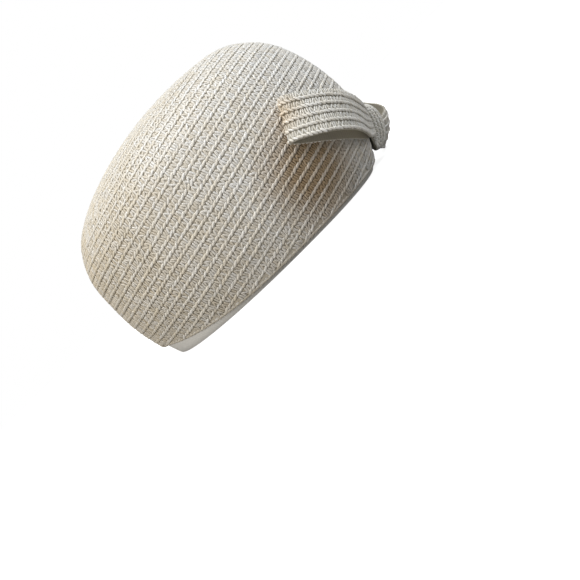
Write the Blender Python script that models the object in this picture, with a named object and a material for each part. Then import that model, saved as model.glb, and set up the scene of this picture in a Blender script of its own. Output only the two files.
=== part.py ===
"""Brimless straw toque with a flat bow: rows of sewn braid, a ribbon band inside the rim.

Metres, +Z up. The hat rests on the lower edge of its band at z = 0, and its front faces -Y.
The rows of braid lie in planes that lean back by ROW_TILT, so the shell is first laid out along
its own axis, with rings across that axis, and then tipped.
"""
import math

import bmesh
import bpy
from mathutils import Matrix, Vector

# Crown: reach from the axis of the rows to the outside of the straw
CROWN_HEIGHT = 0.1345
FRONT_REACH = 0.1275
BACK_REACH = 0.0995
SIDE_REACH = 0.0990
ROW_TILT = math.radians(13.5)
RING_SQUARENESS = 2.2
STRAW_WALL = 0.0018
ROW_PITCH = 0.0060
ROW_RELIEF = 0.0008
CREST_SHARE = 0.82

# Straw edge: its height over the surface that the hat rests on
EDGE_HEIGHT = 0.0028
EDGE_BACK_ARCH = 0.0100
EDGE_FRONT_RISE = 0.0020

# Ribbon band inside the rim
BAND_HEIGHT = 0.0280
BAND_THICKNESS = 0.0014

# Bow: a strip of braid, backed with ribbon
STRIP_WIDTH = 0.0300
STRIP_THICKNESS = 0.0024
STRIP_ROWS = 5
STRIP_RELIEF = 0.0006
BOW_CENTRE_HEIGHT = 0.0290
KNOT_DROP = 0.0055
KNOT_OFFSET = 0.0250
KNOT_WIDTH = 0.0240
KNOT_LENGTH = 0.0330
KNOT_DEPTH = 0.0135
KNOT_SEAT = 0.0024
KNOT_ROUNDNESS = 1.90
KNOT_END_LENGTH = 0.78
KNOT_END_DEPTH = 0.30
KNOT_SQUARENESS = 2.2
LOOP_END_HEIGHT = 0.0650
LOOP_REACH = 0.0720
LOOP_RISE_POWER = 1.65
LOOP_LIFT = 0.0195
LOOP_FALL_POWER = 0.75
PINCH_SHARE = 0.63
PINCH_REACH = 0.45

GAP = 0.0003
RING_SEGMENTS = 42
LOOP_STEPS = 36
KNOT_POINTS = 20

# Rings of the crown from the hem up to the pole. Height is a share of CROWN_HEIGHT, and the
# others are shares of FRONT_REACH, BACK_REACH and SIDE_REACH.
CROWN_RINGS = (
    # height, front, back, side
    (-0.220, 0.700, 0.880, 0.790),
    (-0.120, 0.790, 0.920, 0.840),
    (0.000, 0.890, 0.952, 0.895),
    (0.120, 0.964, 0.978, 0.948),
    (0.260, 0.996, 1.000, 0.988),
    (0.440, 1.000, 0.990, 1.000),
    (0.610, 0.968, 0.938, 0.980),
    (0.740, 0.892, 0.878, 0.928),
    (0.840, 0.780, 0.782, 0.822),
    (0.910, 0.592, 0.662, 0.678),
    (0.960, 0.388, 0.472, 0.470),
    (0.990, 0.200, 0.230, 0.235),
    (1.000, 0.000, 0.000, 0.000),
)

# The two loops: side is 1 for the wearer's right. Start and end are the heights of a loop's middle
# at the knot and at the fold, as shares of BOW_CENTRE_HEIGHT and LOOP_END_HEIGHT. Lift is how far
# a loop bulges off the crown, as a share of LOOP_LIFT, and peak is where it bulges most, as a share
# of LOOP_REACH. A higher steepness keeps it flatter beside the knot. Flare is how much more the
# lower edge bulges than the upper one, as a share of the bulge.
LOOPS = (
    # name, side, start, end, lift, flare, peak, steepness
    ("bow_loop_right", 1, 1.00, 1.00, 0.46, 0.5, 0.74, 4.6),
    ("bow_loop_left", -1, 0.84, 0.96, 1.00, -0.1, 0.36, 0.75),
)

# Way of the strip round one loop, seen along its width. Along is a share of LOOP_REACH, from the
# knot to the fold. Layers is a share of STRIP_THICKNESS and opening a share of the bulge.
LOOP_PATH = (
    # along, layers, opening
    (0.000, 0.600, 0.0),
    (0.060, 0.080, 0.0),
    (0.300, 0.080, 0.0),
    (0.550, 0.080, 0.0),
    (0.780, 0.080, 0.0),
    (0.940, 0.100, 0.0),
    (0.990, 0.300, 0.2),
    (1.000, 0.750, 0.5),
    (0.985, 1.150, 1.0),
    (0.940, 1.250, 1.0),
    (0.860, 1.250, 1.0),
    (0.740, 1.250, 1.0),
    (0.600, 1.250, 1.0),
    (0.460, 1.250, 1.0),
    (0.320, 1.250, 1.0),
    (0.180, 1.250, 1.0),
    (0.060, 1.200, 1.0),
)


def spline(rows, position):
    """Catmull-Rom curve through table rows; position counts rows from 0."""
    last = len(rows) - 1
    index = min(max(int(math.floor(position)), 0), last - 1)
    share = position - index
    before = rows[max(index - 1, 0)]
    start = rows[index]
    end = rows[index + 1]
    after = rows[min(index + 2, last)]
    values = []
    for p0, p1, p2, p3 in zip(before, start, end, after):
        bend = 2 * p0 - 5 * p1 + 4 * p2 - p3
        twist = 3 * p1 - 3 * p2 + p3 - p0
        values.append(0.5 * (2 * p1 + (p2 - p0) * share + bend * share ** 2 + twist * share ** 3))
    return values


def crown_stations():
    """Distance down the side of the crown from its pole, for even steps through the table."""
    steps = 20 * (len(CROWN_RINGS) - 1)
    stations = []
    length = 0.0
    previous = None
    for step in range(steps, -1, -1):
        position = step / 20
        height, _, _, side = spline(CROWN_RINGS, position)
        point = Vector((side * SIDE_REACH, height * CROWN_HEIGHT))
        if previous is not None:
            length += (point - previous).length
        stations.append((length, position))
        previous = point
    return stations


STATIONS = crown_stations()
CROWN_LENGTH = STATIONS[-1][0]


def table_position(distance):
    """Place in CROWN_RINGS at a distance down the side from the pole."""
    distance = min(max(distance, 0.0), CROWN_LENGTH)
    for (near, start), (far, end) in zip(STATIONS, STATIONS[1:]):
        if distance <= far:
            return start + (end - start) * (distance - near) / max(far - near, 1e-9)
    return STATIONS[-1][1]


def signed_power(value, power):
    return math.copysign(abs(value) ** power, value)


def crown_point(distance, angle):
    """Point on the outside of the crown. Angle 0 is the wearer's left, -90 degrees the front."""
    height, front, back, side = spline(CROWN_RINGS, table_position(distance))
    front *= FRONT_REACH
    back *= BACK_REACH
    across = side * SIDE_REACH * signed_power(math.cos(angle), 2 / RING_SQUARENESS)
    reach = (front + back) / 2
    along = (back - front) / 2 + reach * signed_power(math.sin(angle), 2 / RING_SQUARENESS)
    return Matrix.Rotation(-ROW_TILT, 3, "X") @ Vector((across, along, height * CROWN_HEIGHT))


def crown_normal(distance, angle):
    """Outward direction of the crown."""
    if distance < ROW_PITCH / 4:
        return Matrix.Rotation(-ROW_TILT, 3, "X") @ Vector((0, 0, 1))
    step = ROW_PITCH / 10
    turn = 0.01
    down = crown_point(distance + step, angle) - crown_point(distance - step, angle)
    round_ring = crown_point(distance, angle + turn) - crown_point(distance, angle - turn)
    return round_ring.cross(-down).normalized()


def inset_point(distance, angle, inset):
    return crown_point(distance, angle) - crown_normal(distance, angle) * inset


def distance_at_height(height, angle, inset):
    """Distance from the pole at which the inset crown comes down to a height."""
    low = CROWN_LENGTH * 0.5
    high = CROWN_LENGTH
    for _ in range(40):
        middle = (low + high) / 2
        if inset_point(middle, angle, inset).z > height:
            low = middle
        else:
            high = middle
    return (low + high) / 2


def point_at_height(height, angle, inset):
    return inset_point(distance_at_height(height, angle, inset), angle, inset)


def edge_height(y):
    """Height of the straw edge, which arches up at the back and a little at the front."""
    back = min(max(y / BACK_REACH, 0.0), 1.0)
    front = min(max(-y / FRONT_REACH, 0.0), 1.0)
    return EDGE_HEIGHT + EDGE_BACK_ARCH * back ** 3 + EDGE_FRONT_RISE * front ** 2


def material(name, colour, roughness):
    made = bpy.data.materials.new(name)
    made.use_nodes = True
    shader = made.node_tree.nodes["Principled BSDF"]
    shader.inputs["Base Color"].default_value = (*colour, 1.0)
    shader.inputs["Roughness"].default_value = roughness
    shader.inputs["Metallic"].default_value = 0.0
    return made


def add_object(name, mesh, collection, finish=None):
    made = bpy.data.objects.new(name, mesh)
    collection.objects.link(made)
    if finish:
        mesh.materials.append(finish)
    return made


def loft(name, rings, closed=False):
    """Skin rings of equal count. A ring of one point is a pole; closed joins last to first."""
    built = bmesh.new()
    rows = [[built.verts.new(point) for point in ring] for ring in rings]
    pairs = list(zip(rows, rows[1:]))
    if closed:
        pairs.append((rows[-1], rows[0]))
    count = max(len(row) for row in rows)
    for upper, lower in pairs:
        for index in range(count):
            following = (index + 1) % count
            corners = []
            for row, place in ((upper, index), (lower, index), (lower, following), (upper, following)):
                corner = row[place % len(row)]
                if corner not in corners:
                    corners.append(corner)
            if len(corners) > 2:
                built.faces.new(corners)
    bmesh.ops.recalc_face_normals(built, faces=built.faces)
    mesh = bpy.data.meshes.new(name)
    built.to_mesh(mesh)
    built.free()
    mesh.shade_smooth()
    mesh.set_sharp_from_angle(angle=math.radians(40))
    return mesh


def ring_angles():
    return [math.tau * (index + 0.5) / RING_SEGMENTS for index in range(RING_SEGMENTS)]


def crown_outer_rings():
    """From the pole down: each row starts tucked under the last one and stands proud below."""
    rings = [[inset_point(0.0, 0.0, 0.0)]]
    row = 0
    while (row + 1) * ROW_PITCH < CROWN_LENGTH:
        start = row * ROW_PITCH
        if row > 0:
            rings.append([inset_point(start, angle, ROW_RELIEF) for angle in ring_angles()])
        crest = start + ROW_PITCH * CREST_SHARE
        rings.append([inset_point(crest, angle, 0.0) for angle in ring_angles()])
        row += 1
    rings.append([inset_point(row * ROW_PITCH, angle, ROW_RELIEF) for angle in ring_angles()])
    return rings


def crown_inner_rings():
    """The smooth inside of the straw, from the hem up to the pole."""
    inset = ROW_RELIEF + STRAW_WALL
    hem = ROW_PITCH * math.floor(CROWN_LENGTH / ROW_PITCH)
    count = round(hem / (2 * ROW_PITCH))
    rings = []
    for index in range(count):
        distance = hem * (1 - index / count)
        rings.append([inset_point(distance, angle, inset) for angle in ring_angles()])
    rings.append([inset_point(0.0, 0.0, inset)])
    return rings


def add_edge_cutter(collection):
    """All that lies under the straw edge, as a block whose top follows edge_height."""
    margin = 1.4
    half = margin * SIDE_REACH
    front = -margin * FRONT_REACH
    back = margin * BACK_REACH
    steps = 28
    outline = [Vector((-half, front, -CROWN_HEIGHT)), Vector((-half, back, -CROWN_HEIGHT))]
    for index in range(steps + 1):
        y = back + (front - back) * index / steps
        outline.append(Vector((-half, y, edge_height(y))))
    far = [point + Vector((2 * half, 0, 0)) for point in outline]
    built = bmesh.new()
    face = built.faces.new([built.verts.new(point) for point in outline])
    other = built.faces.new([built.verts.new(point) for point in far])
    bmesh.ops.bridge_loops(built, edges=list(face.edges) + list(other.edges))
    bmesh.ops.recalc_face_normals(built, faces=built.faces)
    mesh = bpy.data.meshes.new("edge_cutter")
    built.to_mesh(mesh)
    built.free()
    cutter = add_object("edge_cutter", mesh, collection)
    cutter.hide_render = True
    cutter.display_type = "WIRE"
    return cutter


def build_crown(collection, cutters):
    rings = crown_outer_rings() + crown_inner_rings()
    mesh = loft("crown", rings)
    crown = add_object("crown", mesh, collection, material("straw_braid", (0.80, 0.77, 0.69), 0.45))
    trim = crown.modifiers.new("straw_edge", "BOOLEAN")
    trim.operation = "DIFFERENCE"
    trim.solver = "EXACT"
    trim.object = add_edge_cutter(cutters)
    return crown


def build_headband(collection):
    """Ribbon that follows the inside of the straw and reaches down to the rest plane."""
    outer_inset = ROW_RELIEF + STRAW_WALL + GAP
    inner_inset = outer_inset + BAND_THICKNESS
    heights = [BAND_HEIGHT * share for share in (0.0, 0.12, 0.3, 0.5, 0.75, 1.0)]
    rings = []
    for height in heights:
        rings.append([point_at_height(height, angle, outer_inset) for angle in ring_angles()])
    for height in reversed(heights):
        rings.append([point_at_height(height, angle, inner_inset) for angle in ring_angles()])
    mesh = loft("headband", rings, closed=True)
    return add_object("headband", mesh, collection, material("ribbon", (0.72, 0.70, 0.62), 0.5))


def front_arc():
    """Distance round the crown from the middle of the front, level with the knot, by angle."""
    arc = [(0.0, 0.0)]
    previous = point_at_height(BOW_CENTRE_HEIGHT, -math.pi / 2, 0.0)
    for degrees in range(2, 122, 2):
        turn = math.radians(degrees)
        point = point_at_height(BOW_CENTRE_HEIGHT, -math.pi / 2 - turn, 0.0)
        arc.append((arc[-1][0] + (point - previous).length, turn))
        previous = point
    return arc


FRONT_ARC = front_arc()


def angle_at(offset):
    """Ring angle at a distance from the middle of the front, to the wearer's right."""
    for (near, start), (far, end) in zip(FRONT_ARC, FRONT_ARC[1:]):
        if abs(offset) <= far:
            turn = start + (end - start) * (abs(offset) - near) / (far - near)
            return -math.pi / 2 - math.copysign(turn, offset)
    return -math.pi / 2 - math.copysign(FRONT_ARC[-1][1], offset)


def bow_base(along, side, start, end):
    """Point on the crown under the middle of a loop, with its outward direction."""
    pinch = KNOT_WIDTH / 2 + STRIP_THICKNESS
    angle = angle_at(KNOT_OFFSET + side * (pinch + LOOP_REACH * along))
    low = BOW_CENTRE_HEIGHT * start
    climb = (LOOP_END_HEIGHT * end - low) * max(along, 0.0) ** LOOP_RISE_POWER
    distance = distance_at_height(low + climb, angle, 0.0)
    return crown_point(distance, angle), crown_normal(distance, angle)


def loop_frame(along, side, start, end):
    """Base point, outward direction and direction down the width of the strip."""
    base, out = bow_base(along, side, start, end)
    step = 0.02
    ahead, _ = bow_base(min(along + step, 1.0), side, start, end)
    behind, _ = bow_base(max(along - step, 0.0), side, start, end)
    down = (ahead - behind).cross(out).normalized()
    if down.z > 0:
        down.negate()
    return base, out, down


def strip_width(along):
    """The strip is gathered where the knot holds it."""
    ease = min(along / PINCH_REACH, 1.0)
    return STRIP_WIDTH * (PINCH_SHARE + (1 - PINCH_SHARE) * ease * (2 - ease))


def rib_profile(relief):
    """Across the strip: a groove, then a crest for each row of braid, from -0.5 to 0.5."""
    profile = [(-0.5, 0.0)]
    for row in range(STRIP_ROWS):
        profile.append(((row + 0.35) / STRIP_ROWS - 0.5, relief))
        profile.append(((row + 0.80) / STRIP_ROWS - 0.5, relief))
        profile.append(((row + 1.0) / STRIP_ROWS - 0.5, 0.0))
    return profile


def bulge(along, peak, steepness):
    """Share of a loop's lift: a slow rise from the knot to the peak, then down to the fold."""
    along = min(max(along, 0.0), 1.0)
    if along < peak:
        return math.sin(math.pi / 2 * along / peak) ** steepness
    return (1 - ((along - peak) / (1 - peak)) ** 2) ** LOOP_FALL_POWER


def build_loop(name, side, start, end, lift, flare, peak, steepness, collection, finish):
    """The strip leaves the knot along the crown, folds over and comes back in an arch."""
    path = LOOP_PATH[-1:] + LOOP_PATH + LOOP_PATH[:2]
    places = []
    for index in range(LOOP_STEPS):
        along, layers, opening = spline(path, 1 + index * len(LOOP_PATH) / LOOP_STEPS)
        base, out, down = loop_frame(along, side, start, end)
        rise = opening * lift * LOOP_LIFT * bulge(along, peak, steepness)
        height = GAP + STRIP_THICKNESS * (layers + 0.5) + rise
        places.append((base + out * height, down * strip_width(along) + out * flare * rise))
    rings = []
    for index, (middle, width) in enumerate(places):
        ahead = places[(index + 1) % LOOP_STEPS][0]
        behind = places[index - 1][0]
        outside = width.cross(ahead - behind).normalized() * side
        half = STRIP_THICKNESS / 2 - STRIP_RELIEF
        ring = [middle + width * share + outside * (half + rise)
                for share, rise in rib_profile(STRIP_RELIEF)]
        ring += [middle + width * share - outside * half for share in (0.5, 0.0, -0.5)]
        rings.append(ring)
    mesh = loft(name, rings, closed=True)
    return add_object(name, mesh, collection, finish)


def build_knot(collection, finish):
    """Strip of braid wrapped over the middle of the bow, with its rows running round it."""
    angle = angle_at(KNOT_OFFSET)
    distance = distance_at_height(BOW_CENTRE_HEIGHT - KNOT_DROP, angle, 0.0)
    base = crown_point(distance, angle)
    out = crown_normal(distance, angle)
    across = Vector((0, 0, 1)).cross(out).normalized()
    down = out.cross(across).normalized()
    sections = []
    for share, rise in rib_profile(STRIP_RELIEF):
        swell = math.sqrt(max(1 - (KNOT_ROUNDNESS * share) ** 2, 0.0))
        length = KNOT_LENGTH * (KNOT_END_LENGTH + (1 - KNOT_END_LENGTH) * swell)
        depth = KNOT_DEPTH * (KNOT_END_DEPTH + (1 - KNOT_END_DEPTH) * swell)
        ring = []
        for index in range(KNOT_POINTS):
            turn = math.tau * index / KNOT_POINTS
            round_down = signed_power(math.cos(turn), 2 / KNOT_SQUARENESS) * (length / 2 + rise)
            round_out = math.sin(turn)
            if round_out > 0:
                level = KNOT_SEAT + (depth - KNOT_SEAT + rise) * round_out
            else:
                level = GAP + (KNOT_SEAT - GAP) * (1 + round_out)
            ring.append(base + across * share * KNOT_WIDTH + down * round_down + out * level)
        sections.append(ring)
    built = loft("bow_knot", sections)
    capped = bmesh.new()
    capped.from_mesh(built)
    bmesh.ops.holes_fill(capped, edges=[edge for edge in capped.edges if edge.is_boundary])
    bmesh.ops.recalc_face_normals(capped, faces=capped.faces)
    capped.to_mesh(built)
    capped.free()
    return add_object("bow_knot", built, collection, finish)


def shift_to_origin(parts):
    """Shift that stands the middle of the pieces' common box over the origin."""
    bpy.context.view_layer.update()
    graph = bpy.context.evaluated_depsgraph_get()
    corners = []
    for part in parts:
        evaluated = part.evaluated_get(graph)
        corners += [evaluated.matrix_world @ Vector(corner) for corner in evaluated.bound_box]
    middle_x = (min(c.x for c in corners) + max(c.x for c in corners)) / 2
    middle_y = (min(c.y for c in corners) + max(c.y for c in corners)) / 2
    lowest = min(c.z for c in corners)
    return Vector((-middle_x, -middle_y, -lowest))


def main():
    for old in list(bpy.data.objects):
        bpy.data.objects.remove(old, do_unlink=True)
    parts = bpy.data.collections.new("straw_toque")
    cutters = bpy.data.collections.new("cutters")
    bpy.context.scene.collection.children.link(parts)
    bpy.context.scene.collection.children.link(cutters)
    crown = build_crown(parts, cutters)
    band = build_headband(parts)
    strip = material("bow_braid", (0.80, 0.77, 0.69), 0.45)
    loops = [build_loop(*row, parts, strip) for row in LOOPS]
    knot = build_knot(parts, material("knot_braid", (0.80, 0.77, 0.69), 0.45))
    pieces = [crown, band, *loops, knot]
    shift = shift_to_origin(pieces)
    for piece in pieces + list(cutters.objects):
        piece.location += shift


main()
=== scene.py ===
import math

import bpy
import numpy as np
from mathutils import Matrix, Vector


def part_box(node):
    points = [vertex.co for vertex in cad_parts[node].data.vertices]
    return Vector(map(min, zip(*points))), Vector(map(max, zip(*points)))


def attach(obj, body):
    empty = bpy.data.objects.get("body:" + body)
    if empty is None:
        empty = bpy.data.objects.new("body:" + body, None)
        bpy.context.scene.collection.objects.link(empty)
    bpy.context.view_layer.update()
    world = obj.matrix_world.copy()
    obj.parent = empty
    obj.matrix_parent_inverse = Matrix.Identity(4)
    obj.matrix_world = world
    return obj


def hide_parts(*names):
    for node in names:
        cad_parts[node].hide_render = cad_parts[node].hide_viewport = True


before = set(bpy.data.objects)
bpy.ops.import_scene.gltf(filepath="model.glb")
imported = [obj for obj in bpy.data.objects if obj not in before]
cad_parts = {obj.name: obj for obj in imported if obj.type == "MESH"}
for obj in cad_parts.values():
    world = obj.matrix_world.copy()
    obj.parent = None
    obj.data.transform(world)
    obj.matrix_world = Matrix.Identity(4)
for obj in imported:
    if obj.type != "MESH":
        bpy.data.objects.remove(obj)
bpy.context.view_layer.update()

# %% [markdown]
# The hat is a rounded toque: one long straw braid, sewn round and round from the middle of the top
# down to the edge, each turn lapped over the next like shingles. A flat bow of the same braid sits
# at the front. The plain solids of each part are loaded already, and this lesson dresses them.
# First come the sizes that the braid has to follow.

chance = np.random.default_rng(7)

CROWN_HEIGHT = 0.1345
FRONT_REACH = 0.1275
BACK_REACH = 0.0995
SIDE_REACH = 0.0990
ROW_TILT = math.radians(13.5)
SQUARENESS = 2.2
ROW_PITCH = 0.0060
WALL = 0.0026
BAND_HEIGHT = 0.0280
BOW_HEIGHT = 0.0290

# Rings of the crown: height, front, back and side as shares of the four sizes above
RINGS = np.array((
    (-0.220, 0.700, 0.880, 0.790),
    (-0.120, 0.790, 0.920, 0.840),
    (0.000, 0.890, 0.952, 0.895),
    (0.120, 0.964, 0.978, 0.948),
    (0.260, 0.996, 1.000, 0.988),
    (0.440, 1.000, 0.990, 1.000),
    (0.610, 0.968, 0.938, 0.980),
    (0.740, 0.892, 0.878, 0.928),
    (0.840, 0.780, 0.782, 0.822),
    (0.910, 0.592, 0.662, 0.678),
    (0.960, 0.388, 0.472, 0.470),
    (0.990, 0.200, 0.230, 0.235),
    (1.000, 0.000, 0.000, 0.000),
))


def smooth_rows(rows, position):
    """A smooth curve through table rows; position counts rows from 0."""
    last = len(rows) - 1
    index = np.clip(np.floor(position).astype(int), 0, last - 1)
    share = (position - index)[..., None]
    before = rows[np.maximum(index - 1, 0)]
    start = rows[index]
    end = rows[index + 1]
    after = rows[np.minimum(index + 2, last)]
    bend = 2 * before - 5 * start + 4 * end - after
    twist = 3 * start - 3 * end + after - before
    return 0.5 * (2 * start + (end - before) * share + bend * share ** 2 + twist * share ** 3)


steps = np.linspace(len(RINGS) - 1, 0, 241)
profile = smooth_rows(RINGS, steps)
hops = np.hypot(np.diff(profile[:, 3]) * SIDE_REACH, np.diff(profile[:, 0]) * CROWN_HEIGHT)
DISTANCES = np.concatenate(([0.0], np.cumsum(hops)))
CROWN_LENGTH = DISTANCES[-1]


def power(value, exponent):
    """A power that keeps the sign of its value."""
    return np.sign(value) * np.abs(value) ** exponent


def tip(points):
    """Lean the rows back by the tilt that the whole crown has."""
    x, y, z = np.moveaxis(points, -1, 0)
    cosine, sine = math.cos(ROW_TILT), math.sin(ROW_TILT)
    return np.stack([x, y * cosine + z * sine, z * cosine - y * sine], axis=-1)


shift = np.zeros(3)


def crown_point(distance, angle):
    """Point on the outside of the crown, that far down its side from the pole."""
    distance, angle = np.broadcast_arrays(np.asarray(distance, float), np.asarray(angle, float))
    position = np.interp(np.clip(distance, 0, CROWN_LENGTH), DISTANCES, steps)
    height, front, back, side = np.moveaxis(smooth_rows(RINGS, position), -1, 0)
    front, back = front * FRONT_REACH, back * BACK_REACH
    across = side * SIDE_REACH * power(np.cos(angle), 2 / SQUARENESS)
    along = (back - front) / 2 + (front + back) / 2 * power(np.sin(angle), 2 / SQUARENESS)
    return tip(np.stack([across, along, height * CROWN_HEIGHT], axis=-1)) + shift


def unit(vectors):
    """The same directions, each with a length of 1."""
    return vectors / np.maximum(np.linalg.norm(vectors, axis=-1, keepdims=True), 1e-12)


def crown_axes(distance, angle):
    """Directions round the row, down the side and outward."""
    near = np.maximum(distance, ROW_PITCH / 4)
    along = unit(crown_point(near, angle + 0.01) - crown_point(near, angle - 0.01))
    down = unit(crown_point(near + 0.0006, angle) - crown_point(near - 0.0006, angle))
    out = unit(np.cross(down, along))
    return along, np.cross(along, out), out


low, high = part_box("crown")
swing = np.linspace(0, math.tau, 361)
hull = crown_point(np.linspace(0, CROWN_LENGTH, 200)[:, None], swing)
hull = hull[hull[..., 2] > 0.003]
shift = np.array([(low.x + high.x) / 2, high.y - hull[:, 1].max(), 0.0])
print("crown length down the side", round(CROWN_LENGTH, 4), "shift", shift.round(5))

# %% [markdown]
# Every surface starts as a flat grid that is wrapped into place by a formula, the way a sheet is
# formed over a block. Small shapes, such as one straw of the braid, are modelled once and then
# laid along the rows by the hundred. Two helpers do that, and the one that lays copies gives a random
# tint to each copy, because no two straws of a real braid have quite the same colour.

# %% Helpers for sheets and for copies


def only(piece):
    """Make one object the chosen and active one."""
    bpy.ops.object.select_all(action="DESELECT")
    piece.select_set(True)
    bpy.context.view_layer.objects.active = piece


def edit(piece, *operations):
    """Run edit-mode operators on everything in a piece."""
    only(piece)
    bpy.ops.object.mode_set(mode="EDIT")
    bpy.ops.mesh.select_all(action="SELECT")
    for operation in operations:
        operation()
    bpy.ops.object.mode_set(mode="OBJECT")


def close_up():
    """Join the seam of a wrapped sheet and turn its faces outward."""
    bpy.ops.mesh.remove_doubles(threshold=0.00002)
    bpy.ops.mesh.select_all(action="SELECT")
    bpy.ops.mesh.normals_make_consistent(inside=False)


def sheet_from(name, places, material, sharp=50):
    """Wrap a grid onto a table of points: places is rows by columns by 3."""
    rows, columns = places.shape[:2]
    bpy.ops.mesh.primitive_grid_add(x_subdivisions=columns - 1, y_subdivisions=rows - 1, size=2)
    piece = bpy.context.object
    piece.name = name
    piece.data.name = name
    piece.data.vertices.foreach_set("co", places.reshape(-1, 3).ravel())
    edit(piece, close_up)
    only(piece)
    bpy.ops.object.shade_smooth_by_angle(angle=math.radians(sharp))
    piece.data.materials.append(material)
    return piece


def unit_shape(make, *operations):
    """Model one small shape, hand over its corners and faces, and clear it away."""
    make()
    shape = bpy.context.object
    edit(shape, *operations)
    corners = np.empty(len(shape.data.vertices) * 3)
    shape.data.vertices.foreach_get("co", corners)
    faces = [tuple(face.vertices) for face in shape.data.polygons]
    mesh = shape.data
    bpy.data.objects.remove(shape)
    bpy.data.meshes.remove(mesh)
    return corners.reshape(-1, 3), faces


def lay_copies(name, shape, centres, axes, sizes, material):
    """One mesh with a copy of the shape at each centre. Axes are along, side and out."""
    corners, faces = shape
    along, side, out = axes
    scaled = corners[None] * sizes[:, None, :]
    placed = centres[:, None] + scaled[..., 0:1] * along[:, None]
    placed = placed + scaled[..., 1:2] * side[:, None] + scaled[..., 2:3] * out[:, None]
    count, each = len(centres), len(corners)
    mesh = bpy.data.meshes.new(name)
    mesh.vertices.add(count * each)
    mesh.vertices.foreach_set("co", placed.ravel())
    lengths = np.tile([len(face) for face in faces], count)
    joined = np.concatenate([np.array(face) for face in faces])
    corners_used = (joined[None] + each * np.arange(count)[:, None]).ravel()
    mesh.loops.add(len(corners_used))
    mesh.loops.foreach_set("vertex_index", corners_used)
    mesh.polygons.add(len(lengths))
    mesh.polygons.foreach_set("loop_start", np.concatenate(([0], np.cumsum(lengths)[:-1])))
    mesh.polygons.foreach_set("loop_total", lengths)
    mesh.update(calc_edges=True)
    mesh.validate()
    mesh.polygons.foreach_set("use_smooth", np.ones(len(mesh.polygons), bool))
    tints = np.repeat(chance.random(count), each).astype(np.float32)
    mesh.attributes.new("tint", "FLOAT", "POINT").data.foreach_set("value", tints)
    mesh.materials.append(material)
    piece = bpy.data.objects.new(name, mesh)
    bpy.context.scene.collection.objects.link(piece)
    print(name, count, "copies,", sum(len(face) - 2 for face in faces) * count, "triangles")
    return piece


def dress(piece, node, stands_for=True):
    """Hide the solid that a finished piece stands for, when it does, and tie the piece to the root."""
    if stands_for:
        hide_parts(node)
    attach(piece, "root")


# %% [markdown]
# Straw is a plant fibre with a silky skin, so it shines a little along each straw. The colour is a
# pale ivory that drifts to a warmer cream towards the back and in soft patches. Below the bow and at
# the fold of the bow it is darkened with painted shade. One node group holds that drift and the
# painted shade, and each material feeds it its own two colours.

# %% Straw and ribbon materials


def add_node(tree, kind, **values):
    node = tree.nodes.new(kind)
    for key, value in values.items():
        setattr(node, key, value)
    return node


def group_of(name, inputs, outputs):
    tree = bpy.data.node_groups.new(name, "ShaderNodeTree")
    for label, kind, value in inputs:
        socket = tree.interface.new_socket(label, in_out="INPUT", socket_type=kind)
        socket.default_value = value
    for label, kind in outputs:
        tree.interface.new_socket(label, in_out="OUTPUT", socket_type=kind)
    return tree, tree.nodes.new("NodeGroupInput"), tree.nodes.new("NodeGroupOutput")


def mix_colours(tree, first, second, factor, how="MIX"):
    node = add_node(tree, "ShaderNodeMix", data_type="RGBA", blend_type=how)
    for socket, value in ((node.inputs[0], factor), (node.inputs[6], first), (node.inputs[7], second)):
        if isinstance(value, bpy.types.NodeSocket):
            tree.links.new(value, socket)
        else:
            socket.default_value = value
    return node.outputs[2]


def remap(tree, value, low_in, high_in, low_out, high_out):
    node = add_node(tree, "ShaderNodeMapRange", clamp=True)
    tree.links.new(value, node.inputs["Value"])
    for label, number in zip(("From Min", "From Max", "To Min", "To Max"),
                             (low_in, high_in, low_out, high_out)):
        node.inputs[label].default_value = number
    return node.outputs["Result"]


def noise(tree, where, scale, detail=2.0):
    node = add_node(tree, "ShaderNodeTexNoise")
    node.inputs["Scale"].default_value = scale
    node.inputs["Detail"].default_value = detail
    tree.links.new(where, node.inputs["Vector"])
    return node.outputs["Fac"]


# Places of painted shade, a brown darkening below the bow and a warm darkening at the fold of the bow,
# with their reach
SHADE_BELOW_BOW = tuple(crown_point(0.182, math.radians(-163.0)))
SHADE_AT_FOLD = tuple(crown_point(0.150, math.radians(-155.0)))
BELOW_BOW_REACH = 0.043
FOLD_REACH = 0.016
BELOW_BOW_SHADE_TINT = (0.50, 0.38, 0.25, 1)
FOLD_TINT = (0.90, 0.78, 0.64, 1)


def nearness(tree, place, centre, reach, amount):
    """An amount at a centre, fading to 0 at its reach."""
    away = add_node(tree, "ShaderNodeVectorMath", operation="DISTANCE")
    tree.links.new(place, away.inputs[0])
    away.inputs[1].default_value = centre
    fade = remap(tree, away.outputs["Value"], reach * 0.35, reach, 1.0, 0.0)
    scaled = add_node(tree, "ShaderNodeMath", operation="MULTIPLY")
    tree.links.new(fade, scaled.inputs[0])
    tree.links.new(amount, scaled.inputs[1])
    return scaled.outputs[0]


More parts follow.
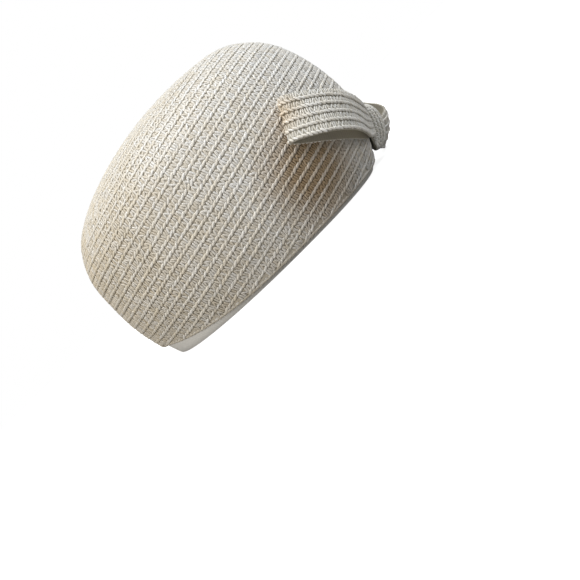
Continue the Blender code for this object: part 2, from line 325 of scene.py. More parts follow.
def straw_drift_and_shade():
    """Colour, roughness and fine grain of straw, from a pale and a warm colour and a tint, with painted
    shade below the bow and at its fold.
    """
    tree, given, made = group_of(
        "straw drift and shade",
        (("Pale", "NodeSocketColor", (0.8, 0.8, 0.8, 1)),
         ("Warm", "NodeSocketColor", (0.6, 0.5, 0.4, 1)),
         ("Tint", "NodeSocketFloat", 0.5), ("Age", "NodeSocketFloat", 1.0),
         ("Fold", "NodeSocketFloat", 0.0)),
        (("Colour", "NodeSocketColor"), ("Roughness", "NodeSocketFloat"), ("Grain", "NodeSocketFloat")))
    place = add_node(tree, "ShaderNodeTexCoord").outputs["Object"]
    patches = remap(tree, noise(tree, place, 14.0), 0.35, 0.65, 0.0, 1.0)
    split = add_node(tree, "ShaderNodeSeparateXYZ")
    tree.links.new(place, split.inputs[0])
    to_back = remap(tree, split.outputs["Y"], -0.03, 0.11, 0.0, 1.0)
    warm_share = add_node(tree, "ShaderNodeMath", operation="MULTIPLY_ADD")
    tree.links.new(to_back, warm_share.inputs[0])
    warm_share.inputs[1].default_value = 0.45
    tree.links.new(remap(tree, patches, 0.0, 1.0, 0.02, 0.24), warm_share.inputs[2])
    tinted = add_node(tree, "ShaderNodeMath", operation="MULTIPLY_ADD", use_clamp=True)
    tree.links.new(remap(tree, given.outputs["Tint"], 0.0, 1.0, -0.22, 0.34), tinted.inputs[0])
    tinted.inputs[1].default_value = 1.0
    tree.links.new(warm_share.outputs[0], tinted.inputs[2])
    base = mix_colours(tree, given.outputs["Pale"], given.outputs["Warm"], tinted.outputs[0])
    grain = noise(tree, place, 1500.0, 3.0)
    streaks = mix_colours(tree, (0.86, 0.85, 0.82, 1), (1, 1, 1, 1), remap(tree, grain, 0.35, 0.6, 0, 1))
    clean = mix_colours(tree, base, streaks, 1.0, "MULTIPLY")
    # Painted shade below the bow: the colour is darkened and browned towards that place.
    below = nearness(tree, place, SHADE_BELOW_BOW, BELOW_BOW_REACH, given.outputs["Age"])
    under_bow_shaded = mix_colours(tree, clean, BELOW_BOW_SHADE_TINT, below, "MULTIPLY")
    # Painted shade at the fold of the bow: the colour is darkened and warmed there.
    folded = nearness(tree, place, SHADE_AT_FOLD, FOLD_REACH, given.outputs["Fold"])
    fold_shaded = mix_colours(tree, under_bow_shaded, FOLD_TINT, folded, "MULTIPLY")
    tree.links.new(fold_shaded, made.inputs["Colour"])
    tree.links.new(remap(tree, given.outputs["Tint"], 0, 1, 0.20, 0.55), made.inputs["Roughness"])
    tree.links.new(grain, made.inputs["Grain"])
    return tree


def straw_material(name, pale, warm, shade_below_bow, fold, use_tint=True, grain_depth=0.00008, specular=0.5):
    made = bpy.data.materials.new(name)
    made.use_nodes = True
    tree = made.node_tree
    shader = tree.nodes["Principled BSDF"]
    shader.inputs["Specular IOR Level"].default_value = specular
    group = add_node(tree, "ShaderNodeGroup", node_tree=drift)
    group.inputs["Age"].default_value = shade_below_bow
    group.inputs["Fold"].default_value = fold
    group.inputs["Pale"].default_value = (*pale, 1)
    group.inputs["Warm"].default_value = (*warm, 1)
    if use_tint:
        tint = add_node(tree, "ShaderNodeAttribute", attribute_name="tint")
        tree.links.new(tint.outputs["Fac"], group.inputs["Tint"])
    tree.links.new(group.outputs["Colour"], shader.inputs["Base Color"])
    tree.links.new(group.outputs["Roughness"], shader.inputs["Roughness"])
    bump = add_node(tree, "ShaderNodeBump")
    bump.inputs["Strength"].default_value = 0.5
    bump.inputs["Distance"].default_value = grain_depth
    tree.links.new(group.outputs["Grain"], bump.inputs["Height"])
    tree.links.new(bump.outputs["Normal"], shader.inputs["Normal"])
    return made


def ribbon_ribs():
    """Fine upright ribs of a grosgrain ribbon, counted round the hat."""
    tree, given, made = group_of(
        "ribbon ribs",
        (("Thread", "NodeSocketColor", (0.8, 0.8, 0.8, 1)),
         ("Valley", "NodeSocketColor", (0.5, 0.5, 0.5, 1)),
         ("Ribs", "NodeSocketFloat", 600.0)),
        (("Colour", "NodeSocketColor"), ("Height", "NodeSocketFloat")))
    uv = add_node(tree, "ShaderNodeUVMap")
    split = add_node(tree, "ShaderNodeSeparateXYZ")
    tree.links.new(uv.outputs["UV"], split.inputs[0])
    turns = add_node(tree, "ShaderNodeMath", operation="MULTIPLY")
    tree.links.new(split.outputs["X"], turns.inputs[0])
    tree.links.new(given.outputs["Ribs"], turns.inputs[1])
    round_off = add_node(tree, "ShaderNodeMath", operation="PINGPONG")
    tree.links.new(turns.outputs[0], round_off.inputs[0])
    round_off.inputs[1].default_value = 1.0
    height = remap(tree, round_off.outputs[0], 0.0, 0.7, 0.0, 1.0)
    # Painted shade: the valleys between the ribs take the darker colour.
    colour = mix_colours(tree, given.outputs["Valley"], given.outputs["Thread"], height)
    tree.links.new(colour, made.inputs["Colour"])
    tree.links.new(height, made.inputs["Height"])
    return tree


def ribbon_material(name, thread, valley, ribs, roughness, group_tree):
    made = bpy.data.materials.new(name)
    made.use_nodes = True
    tree = made.node_tree
    shader = tree.nodes["Principled BSDF"]
    shader.inputs["Roughness"].default_value = roughness
    shader.inputs["Sheen Weight"].default_value = 0.25
    group = add_node(tree, "ShaderNodeGroup", node_tree=group_tree)
    group.inputs["Thread"].default_value = (*thread, 1)
    group.inputs["Valley"].default_value = (*valley, 1)
    group.inputs["Ribs"].default_value = ribs
    tree.links.new(group.outputs["Colour"], shader.inputs["Base Color"])
    bump = add_node(tree, "ShaderNodeBump")
    bump.inputs["Strength"].default_value = 0.4
    bump.inputs["Distance"].default_value = 0.0002
    tree.links.new(group.outputs["Height"], bump.inputs["Height"])
    tree.links.new(bump.outputs["Normal"], shader.inputs["Normal"])
    return made


drift = straw_drift_and_shade()
ribs = ribbon_ribs()
# Painted shade: the straw behind the stitches is darker than the stitches, so the gaps between them look
# shaded.
crown_base = straw_material("crown_straw_behind", (0.70, 0.68, 0.62), (0.55, 0.47, 0.34), 1.0, 0.3, False)
crown_stitch = straw_material("crown_straw_lace", (0.88, 0.88, 0.87), (0.66, 0.58, 0.44), 1.0, 0.3)
crown_edge = straw_material("crown_straw_cord", (0.93, 0.93, 0.92), (0.78, 0.70, 0.55), 0.60, 0.3)
# Painted shade: the straw behind the bow's and knot's stitches is much darker, so their grooves look
# shaded.
bow_base = straw_material("bow_straw_behind", (0.40, 0.39, 0.34), (0.36, 0.31, 0.23), 0.0, 1.0, False)
bow_stitch = straw_material("bow_straw_lace", (0.80, 0.80, 0.78), (0.62, 0.57, 0.46), 0.0, 1.0)
bow_edge = straw_material("bow_straw_cord", (0.92, 0.92, 0.90), (0.78, 0.72, 0.60), 0.0, 1.0)
# The band is its own pale cream, made paler still as painted light to lift the shade under the edge of
# the crown.
ribbon_band = ribbon_material("ribbon_band", (0.96, 0.95, 0.91), (0.90, 0.89, 0.84), 560, 0.42, ribs)
# The backing is partly its own grey-brown and partly painted shade, darkened for the shade inside the
# loops' mouths.
ribbon_back = ribbon_material("ribbon_backing", (0.44, 0.41, 0.33), (0.40, 0.37, 0.30), 420, 0.5, ribs)

# %% [markdown]
# The crown itself is one thin wall with a shallow step at every row, because each turn of braid
# starts tucked under the turn above it. A milliner sews it over a wooden block. The wall ends at the
# lower edge, which arches up a little at the back.

# %% Crown wall

HALVINGS = 30
EDGE_LOWEST = 0.0028
EDGE_BACK_RISE = 0.0100
EDGE_FRONT_RISE = 0.0020


def edge_height(y):
    """Height of the straw edge above the table at a place along the hat."""
    own = y - shift[1]
    back = np.clip(own / BACK_REACH, 0, 1)
    front = np.clip(-own / FRONT_REACH, 0, 1)
    return EDGE_LOWEST + EDGE_BACK_RISE * back ** 3 + EDGE_FRONT_RISE * front ** 2


def inset_point(distance, angle, inset):
    """Point under the outside of the crown, by an inset."""
    return crown_point(distance, angle) - crown_axes(distance, angle)[2] * inset


def search_down(angle, still_above):
    """Distance down the side at which a test stops holding, found by halving the way."""
    near = np.full_like(angle, CROWN_LENGTH / 2)
    far = np.full_like(angle, CROWN_LENGTH)
    for _ in range(HALVINGS):
        middle = (near + far) / 2
        above = still_above(middle)
        near = np.where(above, middle, near)
        far = np.where(above, far, middle)
    return (near + far) / 2


def edge_distance(angle, inset=0.0):
    """Distance down the side at which the crown meets its lower edge."""

    def still_above(distance):
        point = inset_point(distance, angle, inset)
        return point[..., 2] > edge_height(point[..., 1])

    return search_down(angle, still_above)


COLUMNS = 241
INNER_ROWS = 44
ring = np.linspace(0, math.tau, COLUMNS)
last_row = edge_distance(ring)
row_count = int(CROWN_LENGTH / ROW_PITCH)

# Depth of the wall under the crest, at shares of one row from its tucked start. The braid lies
# flatter near the middle of the top, where it was pressed hardest, so the depths fade there.
STEP = ((0.00, -0.0010), (0.10, -0.0008), (0.30, -0.0006), (0.62, -0.0005), (0.93, -0.0008))
POLE_DEPTH = -0.0004
walls = []
for row in range(row_count + 1):
    for share, lift in STEP:
        distance = np.minimum((row + share) * ROW_PITCH, last_row)
        depth = lift if row or share else POLE_DEPTH
        lifts = depth * (0.55 + 0.75 * distance / CROWN_LENGTH)
        walls.append(crown_point(distance, ring) + crown_axes(distance, ring)[2] * lifts[:, None])
inner_edge = edge_distance(ring, WALL)
for step in range(INNER_ROWS + 1):
    walls.append(inset_point(inner_edge * (1 - step / INNER_ROWS), ring, WALL))
walls = np.array(walls)
walls[0] = walls[0].mean(axis=0)
walls[-1] = walls[-1].mean(axis=0)
walls[:, -1] = walls[:, 0]
crown = sheet_from("crown_wall", walls, crown_base)
dress(crown, "crown")
print("crown wall", len(crown.data.polygons), "faces,", row_count, "rows")

# %% [markdown]
# Along the lower edge of each row runs the braid's cord: plump straws that slant over each other
# like the strands of a rope. One straw is modelled as a plump leaf, then laid along the rows at
# even steps. This is what gives the hat its bright ribbed lines.

# %% One straw of the corded edge and one stitch of the lace


def leaf():
    """A round straw of unit length with pointed ends."""
    bpy.ops.mesh.primitive_uv_sphere_add(segments=6, ring_count=5, radius=0.5,
                                         rotation=(0, math.pi / 2, 0))
    bpy.ops.object.transform_apply(rotation=True)


def rod():
    """A straight stitch of unit length."""
    bpy.ops.mesh.primitive_cylinder_add(vertices=5, radius=0.5, depth=1, rotation=(math.pi / 2, 0, 0))
    bpy.ops.object.transform_apply(rotation=True)


LEAF = unit_shape(
    leaf,
    lambda: bpy.ops.transform.resize(value=(1.0, 1.0, 0.9)),
    lambda: bpy.ops.mesh.normals_make_consistent(inside=False))
ROD = unit_shape(
    rod,
    lambda: bpy.ops.mesh.select_all(action="DESELECT"),
    lambda: bpy.ops.mesh.select_mode(type="EDGE"),
    lambda: bpy.ops.mesh.edges_select_sharp(sharpness=math.radians(80)),
    lambda: bpy.ops.mesh.bevel(offset=0.16, segments=1, affect="EDGES"),
    lambda: bpy.ops.mesh.select_mode(type="VERT"),
    lambda: bpy.ops.mesh.select_all(action="SELECT"),
    lambda: bpy.ops.mesh.normals_make_consistent(inside=False))
print("leaf", len(LEAF[1]), "faces, rod", len(ROD[1]), "faces")


def even_angles(distance, spacing, start):
    """Angles that are evenly spaced along a ring, and the real spacing."""
    angles = np.linspace(0, math.tau, 721)
    hops = np.linalg.norm(np.diff(crown_point(distance, angles), axis=0), axis=1)
    lengths = np.concatenate(([0.0], np.cumsum(hops)))
    count = max(int(round(lengths[-1] / spacing)), 4)
    wanted = (np.arange(count) + start % 1) / count * lengths[-1]
    return np.interp(wanted, lengths, angles), lengths[-1] / count


def turned(along, side, lean):
    """Lean copies over in the surface by an angle."""
    cosine, sine = np.cos(lean)[:, None], np.sin(lean)[:, None]
    return along * cosine + side * sine, side * cosine - along * sine


CORD_SHARE = 0.81
CORD_STEP = 0.0034
CORD_LIFT = -0.0001
CORD_SINK = 0.0004
CORD_SIZE = (0.0050, 0.0021, 0.0013)
CORD_LEAN = math.radians(-19)
LACE_SHARE = 0.38
LACE_STEP = 0.0016
LACE_LIFT = -0.00035
LACE_SIZE = (0.00150, 0.0041, 0.0009)
LACE_LEAN = math.radians(8)
LIFT_SPREAD = 0.00008
SIZE_SPREAD = 0.07


def crown_copies(share, spacing, lift, sink, size, lean, wobble):
    """Centres, axes and sizes for copies along every row, sunk by an amount near the pole."""
    centres, alongs, sides, outs, sizes = [], [], [], [], []
    for row in range(row_count + 1):
        distance = (row + share) * ROW_PITCH
        angles, real = even_angles(distance, spacing, row * 0.37)
        spots = crown_point(distance, angles)
        along, side, out = crown_axes(distance, angles)
        keep = spots[:, 2] > edge_height(spots[:, 1]) + size[1] * 0.45
        leans = lean(len(angles)) + chance.normal(0, wobble, len(angles))
        along, side = turned(along, side, leans)
        scale = np.array(size)[None] * (1 + chance.normal(0, SIZE_SPREAD, (len(angles), 3)))
        scale[:, 0] *= min(real / spacing, 1.4)
        lifts = lift - sink * (1 - distance / CROWN_LENGTH) + chance.normal(0, LIFT_SPREAD, len(angles))
        centres.append((spots + out * lifts[:, None])[keep])
        alongs.append(along[keep])
        sides.append(side[keep])
        outs.append(out[keep])
        sizes.append(scale[keep])
    joined = [np.concatenate(rows) for rows in (centres, alongs, sides, outs, sizes)]
    return joined[0], joined[1:4], joined[4]


def constant_lean(angle):
    """Every copy leans over by the same angle."""
    return lambda count: np.full(count, angle)


def paired_lean(angle):
    """Copies lean one way and the other in turn."""
    return lambda count: np.where(np.arange(count) % 2, angle, -angle)


def split_pieces(name, parts, shape, copies, material):
    """Lay the copies as a few pieces, so that none grows too heavy."""
    centres, axes, sizes = copies
    made = []
    for index, share in enumerate(np.array_split(np.arange(len(centres)), parts)):
        label = name + "_" + str(index + 1)
        spots = [axis[share] for axis in axes]
        made.append(lay_copies(label, shape, centres[share], spots, sizes[share], material))
    return made


cords = crown_copies(CORD_SHARE, CORD_STEP, CORD_LIFT, CORD_SINK, CORD_SIZE,
                     constant_lean(CORD_LEAN), 0.07)
for piece in split_pieces("crown_cords", 2, LEAF, cords, crown_edge):
    dress(piece, "crown", False)
lace = crown_copies(LACE_SHARE, LACE_STEP, LACE_LIFT, 0.0, LACE_SIZE, paired_lean(LACE_LEAN), 0.30)
for piece in split_pieces("crown_lace", 2, ROD, lace, crown_stitch):
    dress(piece, "crown", False)

# %% [markdown]
# The outer edge of the straw is bound by one last cord, and a smooth ribbon band is sewn inside it.
# The ribbon reaches a few millimetres below the straw, and the hat stands on it. A tube swept along
# a line makes the core of the cord, with straws laid round it, and a closed ring of thin section
# makes the ribbon.

# %% Edge cord and ribbon band


def tube_along(name, path, normals, radius, material, sides=8):
    """A closed tube round the hat, with its section set by a radius."""
    forward = unit(np.roll(path, -1, axis=0) - np.roll(path, 1, axis=0))
    second = unit(np.cross(forward, normals))
    turn = np.linspace(0, math.tau, sides + 1)
    rings = [path + (normals * math.cos(t) + second * math.sin(t)) * radius for t in turn]
    places = np.array(rings)
    places = np.concatenate([places, places[:, :1]], axis=1)
    places[-1] = places[0]
    return sheet_from(name, places, material)


EDGE_POINTS = 360
EDGE_INSET = 0.0006
EDGE_CORE = 0.0007
edge_angles = np.linspace(0, math.tau, EDGE_POINTS + 1)[:-1]
edge_at = edge_distance(edge_angles)
edge_out = crown_axes(edge_at, edge_angles)[2]
edge_line = inset_point(edge_at, edge_angles, EDGE_INSET)
core = tube_along("crown_edge_core", edge_line, edge_out, EDGE_CORE, crown_base)
dress(core, "crown", False)
closed_line = np.concatenate([edge_line, edge_line[:1]])
edge_lengths = np.concatenate(([0.0], np.cumsum(np.linalg.norm(np.diff(closed_line, axis=0), axis=1))))
strands = int(edge_lengths[-1] / CORD_STEP)
numbers = np.arange(EDGE_POINTS + 1)
places_on = np.interp(np.arange(strands) / strands * edge_lengths[-1], edge_lengths, numbers)
nearest = np.round(places_on).astype(int) % EDGE_POINTS
spots = np.stack([np.interp(places_on, numbers, closed_line[:, i]) for i in range(3)], axis=-1)
ahead = unit(np.roll(edge_line, -1, axis=0) - np.roll(edge_line, 1, axis=0))[nearest]
outer = edge_out[nearest]
below = unit(np.cross(ahead, outer))
strand_leans = CORD_LEAN + chance.normal(0, 0.07, strands)
ahead, below = turned(ahead, below, strand_leans)
strand_sizes = np.array(CORD_SIZE)[None] * (1 + chance.normal(0, SIZE_SPREAD, (strands, 3)))
edge_strands = lay_copies("crown_edge_cord", LEAF, spots, (ahead, below, outer), strand_sizes, crown_edge)
dress(edge_strands, "crown", False)


def drop_to(height, angle, inset):
    """Point on the inset crown at a height above the table."""
    distance = search_down(angle, lambda down: inset_point(down, angle, inset)[..., 2] > height)
    return inset_point(distance, angle, inset)


BAND_OUT = WALL + 0.0003
BAND_IN = BAND_OUT + 0.0013
# Section of the band: height as a share of its own, and place between its two faces
SECTION = (
    (0.012, 0.0), (0.12, 0.0), (0.3, 0.0), (0.6, 0.0), (0.985, 0.0), (1.0, 0.5), (0.985, 1.0),
    (0.6, 1.0), (0.3, 1.0), (0.12, 1.0), (0.012, 1.0), (0.0, 0.8), (0.0, 0.2), (0.012, 0.0),
)
band_rows = [drop_to(BAND_HEIGHT * share, ring, BAND_OUT + (BAND_IN - BAND_OUT) * depth)
             for share, depth in SECTION]
band_places = np.array(band_rows)
band_places[:, -1] = band_places[:, 0]
band = sheet_from("ribbon_band", band_places, ribbon_band, 60)
dress(band, "headband")
print("ribbon band", len(band.data.polygons), "faces")

# %% [markdown]
# The bow is a strip of the same braid, five rows wide and backed with ribbon. Each loop leaves the
# knot flat on the crown, folds over at its far end and comes back in an arch, so its ribbon backing
# shows in the mouth. The strip is a closed section carried along that path.

# %% Bow loops

KNOT_OFFSET = 0.0250
KNOT_WIDTH = 0.0240
KNOT_TUCK = 0.0030
LOOP_REACH = 0.0720
LOOP_END_HEIGHT = 0.0650
LOOP_LIFT = 0.0195
STRIP_WIDTH = 0.0300
STRIP_THICKNESS = 0.0024
STRIP_ROWS = 5
RISE = 0.0006

# Name, side, start, end, lift, flare, peak, steepness and puff of each loop. Puff is how much the
# middle of the strip's width bulges past its edges, as a share of the lift.
LOOPS = (
    ("bow_loop_right", 1, 1.00, 1.00, 0.46, 0.5, 0.74, 4.6, 0.10),
    ("bow_loop_left", -1, 0.62, 0.84, 1.00, -0.45, 0.36, 0.70, 0.25),
)

# Way of the strip round a loop: along, layers of strip above the crown, share of the bulge
LOOP_PATH = np.array((
    (0.000, 0.600, 0.0), (0.060, 0.080, 0.0), (0.300, 0.080, 0.0), (0.550, 0.080, 0.0),
    (0.780, 0.080, 0.0), (0.940, 0.100, 0.0), (0.990, 0.300, 0.2), (1.000, 0.750, 0.5),
    (0.985, 1.150, 1.0), (0.940, 1.250, 1.0), (0.860, 1.250, 1.0), (0.740, 1.250, 1.0),
    (0.600, 1.250, 1.0), (0.460, 1.250, 1.0), (0.320, 1.250, 1.0), (0.180, 1.250, 1.0),
    (0.060, 1.200, 1.0),
))

arc_turns = np.radians(np.arange(0, 122, 2.0))
arc_points = drop_to(BOW_HEIGHT, -math.pi / 2 - arc_turns, 0.0)
arc_lengths = np.concatenate(([0.0], np.cumsum(np.linalg.norm(np.diff(arc_points, axis=0), axis=1))))


def angle_at(offset):
    """Ring angle at a distance from the middle of the front, to the wearer's right."""
    turn = np.interp(np.abs(offset), arc_lengths, arc_turns)
    return -math.pi / 2 - np.copysign(turn, offset)


def seat_at(angle, height):
    """Point on the outside of the crown at a height, and its outward direction."""
    distance = search_down(angle, lambda down: crown_point(down, angle)[..., 2] > height)
    return crown_point(distance, angle), crown_axes(distance, angle)[2]


def bow_seat(along, side, start, end):
    """Point of the crown under the middle of a loop, and its outward direction."""
    angle = angle_at(KNOT_OFFSET + side * (KNOT_WIDTH / 2 + STRIP_THICKNESS + LOOP_REACH * along))
    rise = (LOOP_END_HEIGHT * end - BOW_HEIGHT * start) * np.maximum(along, 0) ** 1.65
    return seat_at(angle, BOW_HEIGHT * start + rise)


def bulge(along, peak, steepness):
    """Height of a loop's arch from 0 to 1, climbing to its peak and closing at its far end."""
    along = np.clip(along, 0, 1)
    climb = np.sin(math.pi / 2 * np.minimum(along / peak, 1)) ** steepness
    fall = (1 - (np.clip((along - peak) / (1 - peak), 0, 1)) ** 2) ** 0.75
    return np.where(along < peak, climb, fall)


def loop_rails(side, start, end, lift, flare, peak, steepness, puff, steps=150):
    """Middle line of the strip round a loop, its width, its puff and the side it is on."""
    path = np.concatenate([LOOP_PATH[-1:], LOOP_PATH, LOOP_PATH[:2]])
    values = smooth_rows(path, 1 + np.arange(steps) * len(LOOP_PATH) / steps)
    along, layers, opening = values.T
    tuck = KNOT_TUCK / LOOP_REACH * 1.5
    along = along - tuck * np.clip(1 - along / 0.12, 0, 1)
    base, out = bow_seat(along, side, start, end)
    ahead = bow_seat(np.minimum(along + 0.02, 1.0), side, start, end)[0]
    behind = bow_seat(np.maximum(along - 0.02, -tuck), side, start, end)[0]
    down = unit(np.cross(ahead - behind, out))
    down = down * np.where(down[:, 2:] > 0, -1, 1)
    rise = opening * lift * LOOP_LIFT * bulge(along, peak, steepness)
    height = 0.0004 + STRIP_THICKNESS * (layers + 0.5) + rise
    ease = np.clip(along / 0.45, 0, 1)
    widths = STRIP_WIDTH * (0.63 + 0.37 * ease * (2 - ease))
    middle = base + out * height[:, None]
    width = down * widths[:, None] + out * (flare * rise)[:, None]
    return middle, width, out * (puff * rise)[:, None], side


def strip_line(rails, share, lift):
    """Line along the strip at a share of its width and a height above its middle layer."""
    middle, width, swell, side = rails
    line = middle + width * share + swell * (1 - 4 * share ** 2)
    across = width - swell * 8 * share
    forward = np.roll(line, -1, axis=0) - np.roll(line, 1, axis=0)
    outside = unit(np.cross(across, forward)) * side
    return line + outside * lift, unit(across), outside


# Outer face of the strip: share of its width and rise of the braid above its body
FACE = [(-0.5, -0.0004)]
for braid_row in range(STRIP_ROWS):
    for share, rise in ((0.12, -0.0002), (0.45, 0.0), (0.75, 0.0002), (1.0, -0.0004)):
        FACE.append(((braid_row + share) / STRIP_ROWS - 0.5, rise))
BODY_HALF = STRIP_THICKNESS / 2 - RISE


def strip_copies(rails, share, spacing, lift, size, lean, wobble):
    """Centres, axes and sizes for copies along each of the strip's rows."""
    centres, alongs, sides, outs, sizes = [], [], [], [], []
    for braid_row in range(STRIP_ROWS):
        place = (braid_row + share) / STRIP_ROWS - 0.5
        line, across, outside = strip_line(rails, place, BODY_HALF + lift)
        widths = np.linalg.norm(rails[1], axis=1, keepdims=True)
        looped = np.concatenate([line, line[:1]])
        lengths = np.concatenate(([0.0], np.cumsum(np.linalg.norm(np.diff(looped, axis=0), axis=1))))
        count = int(round(lengths[-1] / spacing))
        wanted = (np.arange(count) + braid_row * 0.37 % 1) / count * lengths[-1]
        index = np.interp(wanted, lengths, np.arange(len(looped)))
        low_index = np.floor(index).astype(int) % len(line)
        high_index = (low_index + 1) % len(line)
        part = (index % 1)[:, None]

        def between(values):
            return values[low_index] * (1 - part) + values[high_index] * part

        out = unit(between(outside))
        side = unit(between(across))
        along = unit(np.cross(side, out))
        side = np.cross(out, along)
        narrow = between(widths) / STRIP_WIDTH
        leans = lean(count) + chance.normal(0, wobble, count)
        along, side = turned(along, side, leans)
        scale = np.array(size)[None] * (1 + chance.normal(0, SIZE_SPREAD, (count, 3)))
        scale[:, 1:2] *= narrow
        centres.append(between(line) + out * chance.normal(0, LIFT_SPREAD, (count, 1)))
        alongs.append(along)
        sides.append(side)
        outs.append(out)
        sizes.append(scale)
    joined = [np.concatenate(rows) for rows in (centres, alongs, sides, outs, sizes)]
    return joined[0], joined[1:4], joined[4]


# Place in its row, spacing, height over the strip and size of the straws and of the stitches
BOW_CORD = (0.80, 0.0030, 0.0003, (0.0045, 0.0019, 0.0017))
BOW_LACE = (0.36, 0.0015, -0.0001, (0.0012, 0.0040, 0.0010))
BOW_CORD_LEAN = math.radians(27)
BOW_LACE_LEAN = math.radians(12)


def dress_strip(name, node, rails):
    """Cords and lace on one strip, each as a piece."""
    side = -1 if "right" in name else 1
    cords = strip_copies(rails, *BOW_CORD, constant_lean(BOW_CORD_LEAN * side), 0.10)
    lace = strip_copies(rails, *BOW_LACE, paired_lean(BOW_LACE_LEAN), 0.20)
    for label, shape, copies, finish in (("_cords", LEAF, cords, bow_edge),
                                         ("_lace", ROD, lace, bow_stitch)):
        piece = lay_copies(name + label, shape, *copies, finish)
        dress(piece, node, False)


for name, side, *values in LOOPS:
    rails = loop_rails(side, *values)
    lines = [strip_line(rails, share, BODY_HALF + rise)[0] for share, rise in FACE]
    lines += [strip_line(rails, share, -BODY_HALF)[0] for share in (0.5, 0.3, 0.1, -0.1, -0.3, -0.5)]
    lines.append(lines[0])
    places = np.array(lines)
    places = np.concatenate([places, places[:, :1]], axis=1)
    loop = sheet_from(name + "_strip", places, bow_base)
    loop.data.materials.append(ribbon_back)
    face_places = np.empty(len(loop.data.polygons) * 3)
    loop.data.polygons.foreach_get("center", face_places)
    face_places = face_places.reshape(-1, 1, 3)
    straw_side = np.concatenate([strip_line(rails, share, BODY_HALF)[0] for share, _ in FACE])
    back_side = np.concatenate([strip_line(rails, share, -BODY_HALF)[0] for share, _ in FACE])
    to_straw = ((face_places - straw_side) ** 2).sum(axis=2).min(axis=1)
    to_back = ((face_places - back_side) ** 2).sum(axis=2).min(axis=1)
    backing = (to_back < to_straw).astype(int)
    loop.data.polygons.foreach_set("material_index", backing)
    dress(loop, name)
    dress_strip(name, name, rails)

# %% [markdown]
# The knot is a short strip of braid wrapped over the middle of the bow, so that its rows curve round
# it like the hoops of a barrel. It hides the gathered ends of both loops.

# %% Knot

KNOT_DROP = 0.0055
KNOT_LENGTH = 0.0330
KNOT_DEPTH = 0.0135
KNOT_SEAT = 0.0024
KNOT_ROUNDNESS = 2.6
KNOT_END_LENGTH = 0.78
KNOT_ROWS = 13
seats = seat_at(angle_at(np.array([KNOT_OFFSET])), BOW_HEIGHT - KNOT_DROP)
knot_base, knot_out = seats[0][0], seats[1][0]
knot_across = unit(np.cross((0.0, 0.0, 1.0), knot_out))
knot_down = unit(np.cross(knot_out, knot_across))


def knot_swell(share):
    """How full the knot is at a share of its width: full in the middle and nothing at its ends."""
    return (1 - np.abs(2 * np.clip(share, -0.5, 0.5)) ** KNOT_ROUNDNESS) ** (1 / KNOT_ROUNDNESS)


fine = np.linspace(-0.5, 0.5, 401)
knot_hops = np.hypot(np.diff(fine) * KNOT_WIDTH, np.diff(knot_swell(fine)) * KNOT_DEPTH)
knot_arc = np.concatenate(([0.0], np.cumsum(knot_hops)))


def knot_line(place, rise, turns):
    """One line round the knot. Place runs from 0 to 1 over the knot, from one end to the other."""
    share = np.interp(place * knot_arc[-1], knot_arc, fine)
    swell = knot_swell(share)
    length = KNOT_LENGTH * (KNOT_END_LENGTH + (1 - KNOT_END_LENGTH) * swell)
    depth = KNOT_SEAT + (KNOT_DEPTH - KNOT_SEAT) * swell
    down = power(np.cos(turns), 2 / SQUARENESS) * (length / 2 + rise)
    upper = KNOT_SEAT + (depth - KNOT_SEAT + rise) * np.sin(turns)
    lower = 0.0003 + (KNOT_SEAT - 0.0003) * (1 + np.sin(turns))
    level = np.where(np.sin(turns) > 0, upper, lower)
    spot = knot_base + knot_across * share * KNOT_WIDTH
    return spot + knot_down * down[:, None] + knot_out * level[:, None]


KNOT_POINTS = 97
knot_turns = np.linspace(0, math.tau, KNOT_POINTS)
knot_face = [(0.0, -0.0004)]
for braid_row in range(KNOT_ROWS):
    for share, rise in ((0.12, -0.0010), (0.45, -0.0006), (0.70, -0.0006), (1.0, -0.0014)):
        knot_face.append(((braid_row + share) / KNOT_ROWS, rise))
knot_lines = [knot_line(place, rise, knot_turns) for place, rise in knot_face]
first_end = np.repeat(knot_lines[0].mean(axis=0)[None], KNOT_POINTS, axis=0)
last_end = np.repeat(knot_lines[-1].mean(axis=0)[None], KNOT_POINTS, axis=0)
knot_places = np.array([first_end] + knot_lines + [last_end])
knot_places[:, -1] = knot_places[:, 0]
knot = sheet_from("bow_knot_strip", knot_places, bow_base)
dress(knot, "bow_knot")

half_turns = np.linspace(-0.1, math.pi + 0.1, 90)


def knot_copies(share, spacing, lift, size, lean):
    """Centres, axes and sizes for copies along the rows that curve over the knot."""
    centres, alongs, sides, outs, sizes = [], [], [], [], []
    for braid_row in range(KNOT_ROWS):
        place = (braid_row + share) / KNOT_ROWS
        line = knot_line(place, lift, half_turns)
        lengths = np.concatenate(([0.0], np.cumsum(np.linalg.norm(np.diff(line, axis=0), axis=1))))
        count = int(round(lengths[-1] / spacing))
        wanted = (np.arange(count) + 0.5) / count * lengths[-1]
        at = np.interp(wanted, lengths, half_turns)
        spots = knot_line(place, lift, at)
        along = unit(knot_line(place, lift, at + 0.02) - knot_line(place, lift, at - 0.02))
        side = unit(knot_line(min(place + 0.02, 1), lift, at) - knot_line(place - 0.02, lift, at))
        out = unit(np.cross(along, side))
        out = out * np.where(((spots - knot_base) * out).sum(axis=1) < 0, -1, 1)[:, None]
        side = unit(np.cross(out, along))
        leans = lean(count) + chance.normal(0, 0.06, count)
        along, side = turned(along, side, leans)
        centres.append(spots)
        alongs.append(along)
        sides.append(side)
        outs.append(out)
        sizes.append(np.array(size)[None] * (1 + chance.normal(0, SIZE_SPREAD, (count, 3))))
    joined = [np.concatenate(rows) for rows in (centres, alongs, sides, outs, sizes)]
    return joined[0], joined[1:4], joined[4]


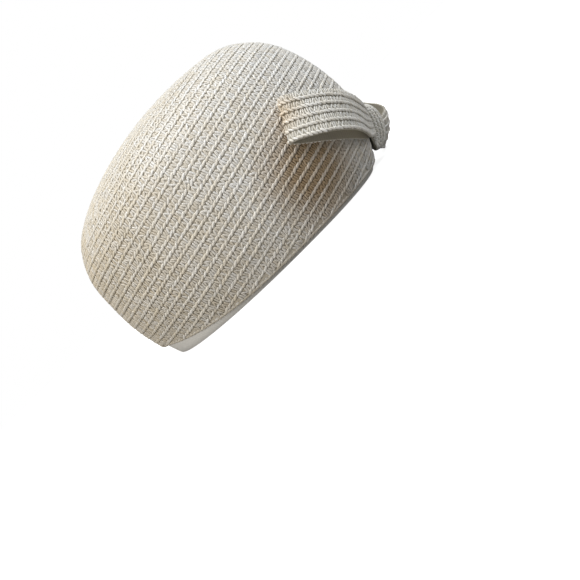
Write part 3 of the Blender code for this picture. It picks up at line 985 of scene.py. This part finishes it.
# Place in its row, spacing, height over the knot and size of the straws and of the stitches
KNOT_CORD = (0.74, 0.0026, 0.0, (0.0040, 0.0016, 0.0016))
KNOT_LACE = (0.26, 0.0014, -0.0006, (0.0011, 0.0017, 0.0008))
knot_cords = knot_copies(*KNOT_CORD, constant_lean(math.radians(20)))
knot_lace = knot_copies(*KNOT_LACE, paired_lean(math.radians(14)))
dress(lay_copies("bow_knot_cords", LEAF, *knot_cords, bow_edge), "bow_knot", False)
dress(lay_copies("bow_knot_lace", ROD, *knot_lace, bow_stitch), "bow_knot", False)

# %% [markdown]
# The hat stands on a plain white table in soft light from above its front. The camera keeps the
# angle at which the hat is best known, tipped on its side, a little above the table.

# %% Table, light and camera

bpy.ops.mesh.primitive_circle_add(vertices=96, radius=6, fill_type="NGON", location=(0, 0, -0.0002))
table = bpy.context.object
table.name = "table"
paper = bpy.data.materials.new("white_paper")
paper.use_nodes = True
paper_shader = paper.node_tree.nodes["Principled BSDF"]
paper_shader.inputs["Base Color"].default_value = (0.90, 0.90, 0.90, 1)
paper_shader.inputs["Roughness"].default_value = 0.9
paper_shader.inputs["Specular IOR Level"].default_value = 0.1
paper_shader.inputs["Emission Color"].default_value = (1, 1, 1, 1)
paper_shader.inputs["Emission Strength"].default_value = 0.80
# The table looks white, but throws back little light, as a dark studio floor would
seen = add_node(paper.node_tree, "ShaderNodeLightPath")
dark = add_node(paper.node_tree, "ShaderNodeBsdfDiffuse")
dark.inputs["Color"].default_value = (0.24, 0.23, 0.22, 1)
both = add_node(paper.node_tree, "ShaderNodeMixShader")
paper.node_tree.links.new(seen.outputs["Is Camera Ray"], both.inputs[0])
paper.node_tree.links.new(dark.outputs[0], both.inputs[1])
paper.node_tree.links.new(paper_shader.outputs[0], both.inputs[2])
paper.node_tree.links.new(both.outputs[0], paper.node_tree.nodes["Material Output"].inputs["Surface"])
table.data.materials.append(paper)

world = bpy.data.worlds.new("studio")
bpy.context.scene.world = world
world.use_nodes = True
nodes, links = world.node_tree.nodes, world.node_tree.links
ray = nodes.new("ShaderNodeLightPath")
strength = nodes.new("ShaderNodeMapRange")
strength.inputs["To Min"].default_value = 0.34
strength.inputs["To Max"].default_value = 1.0
links.new(ray.outputs["Is Camera Ray"], strength.inputs["Value"])
links.new(strength.outputs["Result"], nodes["Background"].inputs["Strength"])
nodes["Background"].inputs["Color"].default_value = (1, 1, 1, 1)


def soft_light(name, place, aim, size, watts, colour):
    """A round lamp at a place, turned to face a point."""
    data = bpy.data.lights.new(name, "AREA")
    data.shape = "DISK"
    data.size = size
    data.energy = watts
    data.color = colour
    lamp = bpy.data.objects.new(name, data)
    bpy.context.scene.collection.objects.link(lamp)
    lamp.location = place
    lamp.rotation_euler = (Vector(aim) - Vector(place)).to_track_quat("-Z", "Y").to_euler()


soft_light("window", (-0.38, 0.10, 1.12), (0, 0, 0.06), 0.45, 8.0, (1.0, 0.98, 0.95))
soft_light("sky", (-0.25, -0.85, 1.00), (0, 0, 0.06), 0.8, 4.3, (0.84, 0.92, 1.0))
soft_light("bounce", (-0.70, 1.05, 0.25), (0, 0, 0.06), 0.8, 6.2, (1.0, 0.96, 0.90))
soft_light("low_glow", (-0.42, -0.42, 0.10), (-0.05, -0.08, 0.0), 0.18, 0.32, (1.0, 0.98, 0.95))

# Place of the camera, the point it looks at, its roll and its focal length in millimetres
eye = np.array([-0.5276, 0.0608, 0.0535]) + shift
aim = np.array([0.0, 0.01023, -0.02469]) + shift
roll = math.radians(43.98)
forward = unit(aim - eye)
right = unit(np.cross(forward, (0.0, 0.0, 1.0)))
upward = np.cross(right, forward)
camera_x = math.cos(roll) * right - math.sin(roll) * upward
camera_y = math.sin(roll) * right + math.cos(roll) * upward
camera_data = bpy.data.cameras.new("camera")
camera_data.sensor_width = 36
camera_data.lens = 44.69
camera_data.clip_start = 0.01
camera = bpy.data.objects.new("camera", camera_data)
bpy.context.scene.collection.objects.link(camera)
turned_frame = Matrix([list(row) for row in np.stack([camera_x, camera_y, -forward], axis=1)])
camera.matrix_world = Matrix.Translation(Vector(eye)) @ turned_frame.to_4x4()
bpy.context.scene.camera = camera
bpy.context.scene.view_settings.view_transform = "Standard"
bpy.context.scene.view_settings.look = "None"
